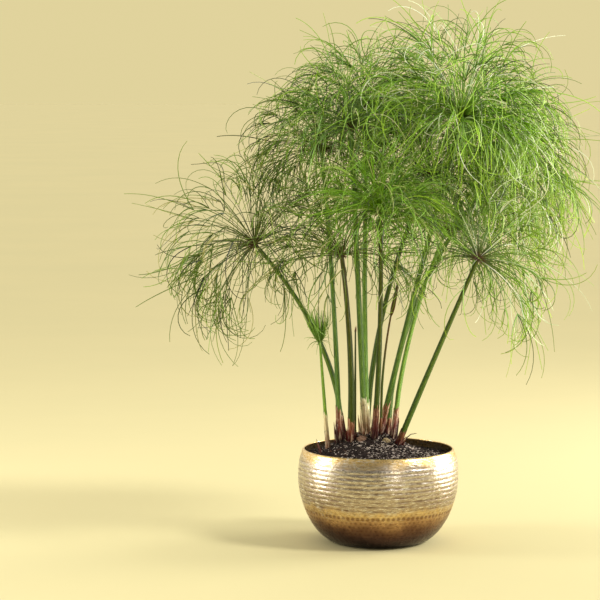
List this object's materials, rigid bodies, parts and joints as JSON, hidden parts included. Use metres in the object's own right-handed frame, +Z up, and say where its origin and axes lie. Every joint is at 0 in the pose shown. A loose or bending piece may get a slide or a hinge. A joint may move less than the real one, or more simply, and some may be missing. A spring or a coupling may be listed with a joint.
{
  "type": "potted papyrus plant",
  "caption": "Papyrus plant with tall bare stems and feathery mop heads, growing from dark soil in a round hammered brass pot.",
  "frame": {"origin": "middle of the pot's flat foot, on the surface that it stands on", "axes": "+Z up, -Y towards the front, +X to the right seen from the front"},
  "size_m": [0.8632, 0.6674, 0.952],
  "materials": {
    "pot_brass": "hammered and ridged, with a worn patina",
    "potting_mix": "damp dark potting mix, rough",
    "rootstock_bark": "rough brown bark",
    "stem_green": "smooth fresh stem, faintly ribbed",
    "bud_brown": "dry papery scales",
    "sheath_red": "thin papery sheath, dark red",
    "sheath_cream": "thin papery sheath, dry and pale",
    "ray_green_shaded": "fine soft threads, olive green",
    "ray_green_middle": "fine soft threads, green",
    "ray_green_bright": "fine soft threads, bright yellow green"
  },
  "bodies": {
    "root": {"pot": "pot_brass", "soil": "potting_mix", "rootstock_left": "rootstock_bark", "rootstock_right": "rootstock_bark", "stem_a": "stem_green", "stem_b": "stem_green", "stem_c": "stem_green", "stem_d": "stem_green", "stem_e": "stem_green", "stem_f": "stem_green", "stem_g": "stem_green", "stem_h": "stem_green", "stem_i": "stem_green", "stem_j": "stem_green", "stem_k": "stem_green", "stem_young": "stem_green", "stem_bud": "bud_brown", "stem_stub": "stem_green", "head_a": "ray_green_shaded", "head_b": "ray_green_shaded", "head_c": "ray_green_middle", "head_d": "ray_green_bright", "head_e": "ray_green_shaded", "head_f": "ray_green_bright", "head_g": "ray_green_middle", "head_h": "ray_green_middle", "head_i": "ray_green_middle", "head_j": "ray_green_middle", "head_k": "ray_green_bright", "young_brush": "ray_green_middle", "bud": "bud_brown", "sheath_a": "sheath_red", "sheath_b": "sheath_red", "sheath_c": "sheath_red", "sheath_d": "sheath_red", "sheath_e": "sheath_red", "sheath_f": "sheath_red", "sheath_g": "sheath_cream", "sheath_h": "sheath_cream", "sheath_i": "sheath_cream", "sheath_j": "sheath_red", "sheath_k": "sheath_red", "sheath_young": "sheath_cream", "sheath_bud": "sheath_red", "shoot_left": "sheath_red", "shoot_middle": "sheath_red", "twig": "rootstock_bark"}
  },
  "joints": []
}
